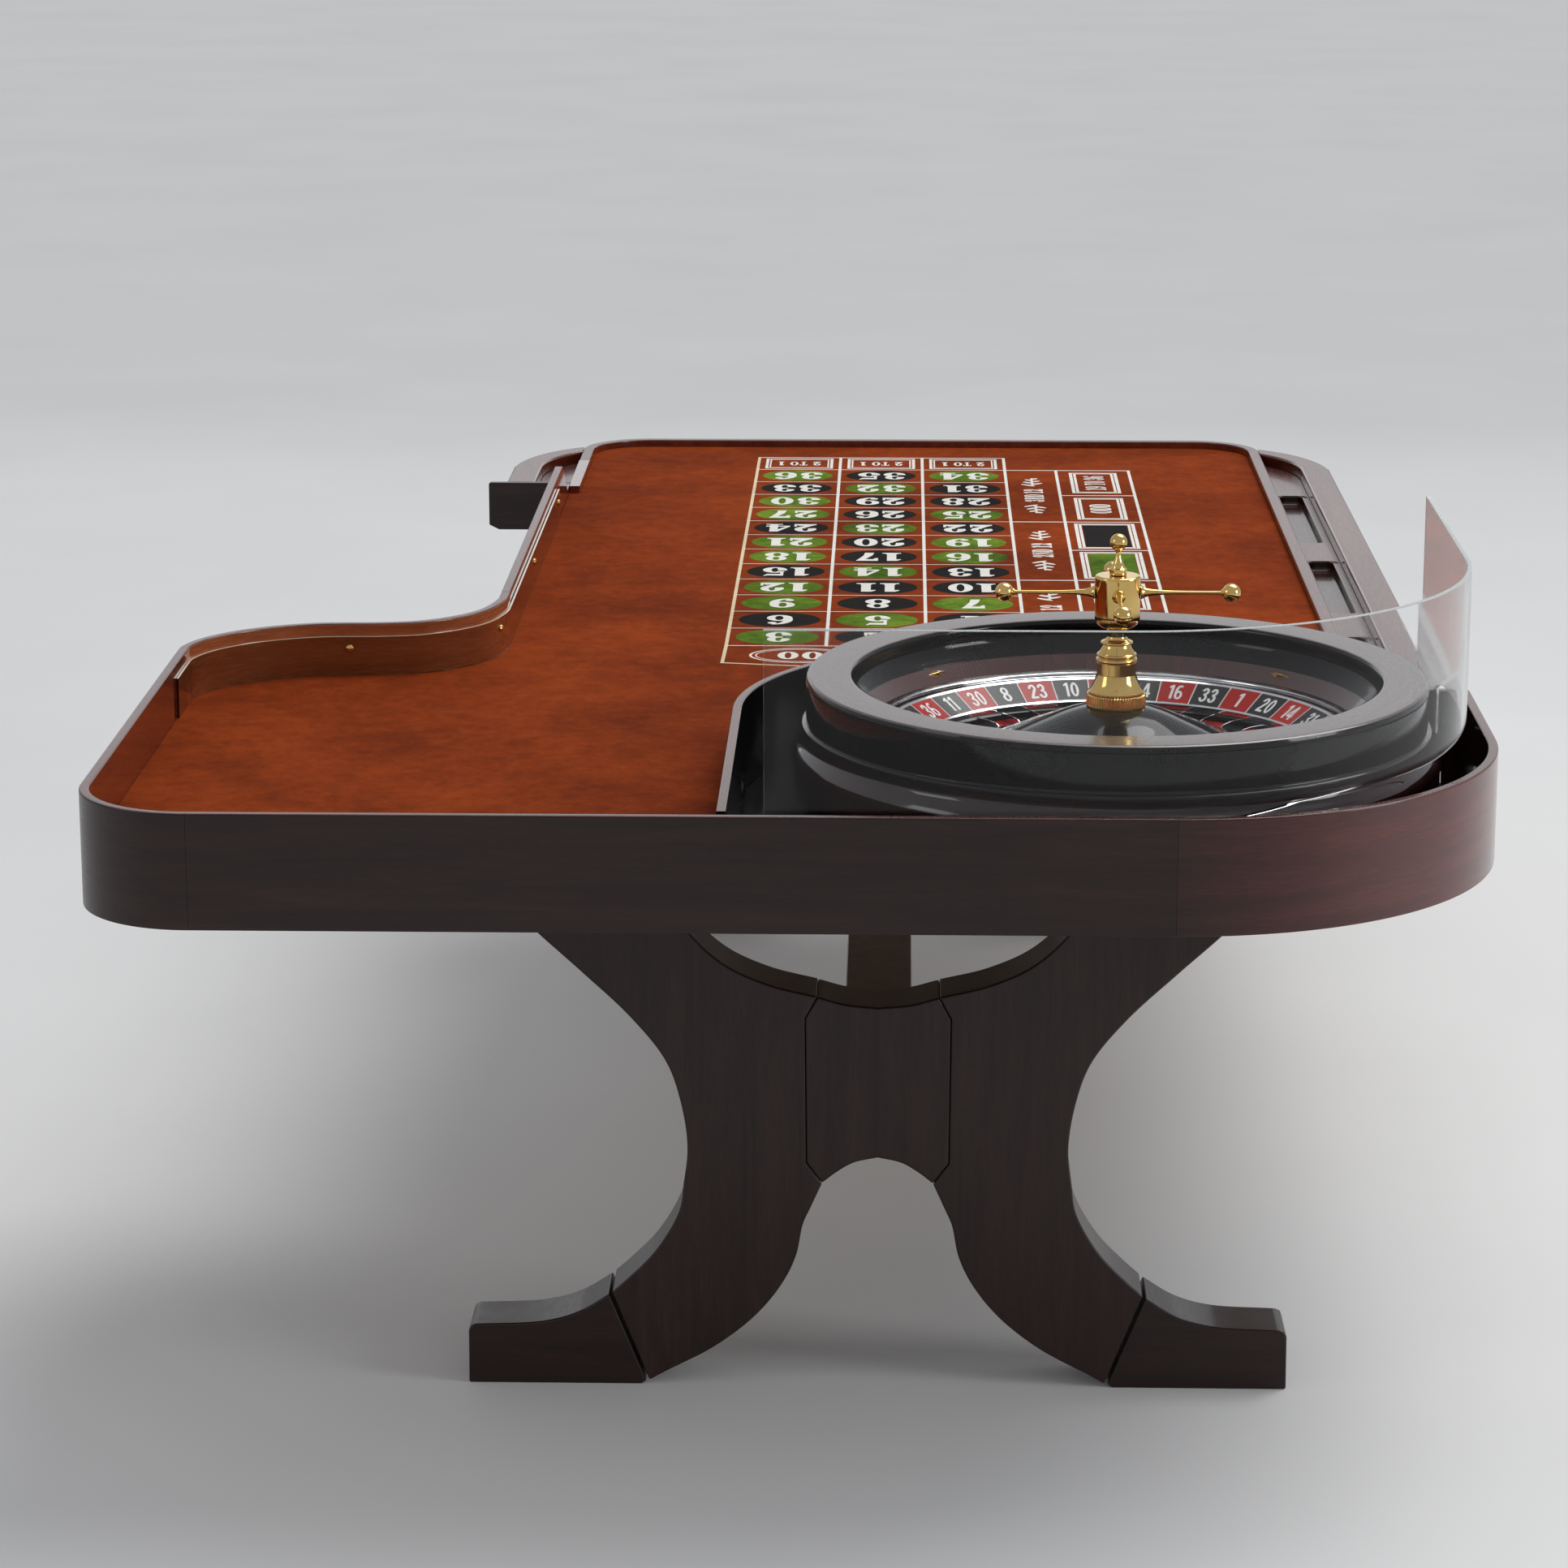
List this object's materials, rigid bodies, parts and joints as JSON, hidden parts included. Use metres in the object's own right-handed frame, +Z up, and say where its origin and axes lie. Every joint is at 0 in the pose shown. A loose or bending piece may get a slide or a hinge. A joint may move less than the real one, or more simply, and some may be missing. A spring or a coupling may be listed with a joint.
{
  "type": "roulette table",
  "caption": "Casino table with a shaped cloth layout, lacquered timber aprons, side trays, a turned wheel with spinning rotor behind a clear shield, on curved pedestals.",
  "frame": {"origin": "on the floor under the middle of the table's overall box", "axes": "+Z up; +Y along the table's length, from the wheel end to the far end; +X to the wheel's side, seen from the wheel end"},
  "size_m": [1.712, 2.9506, 1.0862],
  "materials": {
    "dark_wood": "dark walnut stain under clear gloss lacquer",
    "red_brown_wood": "red-brown stain under clear gloss lacquer",
    "ply": "unfinished plywood",
    "cloth": "printed orange-brown gaming cloth",
    "clear_panel": "clear polished acrylic",
    "bowl_moulding": "dark red polished turned moulding",
    "black_lacquer": "black mirror-gloss lacquer",
    "silver_trim": "bright polished",
    "brass": "polished",
    "steel": "turned",
    "number_ring_print": "alternating red and near-black fields under gloss"
  },
  "bodies": {
    "table": {"playfield_board": "ply", "felt_layout": "cloth", "wheel_well_floor": "ply", "wheel_well_wall": "dark_wood", "near_apron": "dark_wood", "left_apron": "dark_wood", "s_curve_apron": "red_brown_wood", "recess_wall": "red_brown_wood", "left_inner_rail": "red_brown_wood", "far_right_corner_rail": "red_brown_wood", "far_left_corner_rail": "red_brown_wood", "far_apron": "red_brown_wood", "right_inner_rail": "red_brown_wood", "wheel_end_apron": "red_brown_wood", "wall_liner": "clear_panel", "right_tray": "dark_wood", "right_tray_board": "dark_wood", "right_armrest": "red_brown_wood", "right_armrest_end": "red_brown_wood", "left_tray": "dark_wood", "left_tray_board": "dark_wood", "left_armrest": "red_brown_wood", "left_armrest_end": "red_brown_wood", "left_end_panel": "red_brown_wood", "wheel_shield": "clear_panel", "front_center_block": "dark_wood", "front_leg_left": "dark_wood", "front_leg_right": "dark_wood", "front_foot_left": "dark_wood", "front_foot_right": "dark_wood", "rear_center_block": "dark_wood", "rear_leg_left": "dark_wood", "rear_leg_right": "dark_wood", "rear_foot_left": "dark_wood", "rear_foot_right": "dark_wood", "stretcher_beam": "dark_wood", "front_bearer": "ply", "rear_bearer": "ply", "wheel_bowl": "bowl_moulding", "ball_track_ring": "black_lacquer", "track_edge_ring": "silver_trim", "ball_deflector_1": "brass", "ball_deflector_2": "brass", "ball_deflector_3": "brass", "ball_deflector_4": "brass", "wheel_spindle": "steel", "spindle_bearing": "steel"},
    "rotor": {"rotor_disc": "black_lacquer", "number_ring": "number_ring_print", "pocket_fret_ring": "silver_trim", "rotor_cone": "black_lacquer", "turret_base": "brass", "turret_column": "brass", "turret_barrel": "brass", "turret_arm_1": "brass", "turret_arm_2": "brass", "turret_arm_3": "brass", "turret_arm_4": "brass", "turret_finial": "brass"}
  },
  "joints": [
    {"name": "wheel_spin", "type": "hinge", "parent": "table", "child": "rotor", "pos_m": [0.38838, -1.00248, 0.85], "axis": [0, 0, 1], "continuous": true}
  ]
}
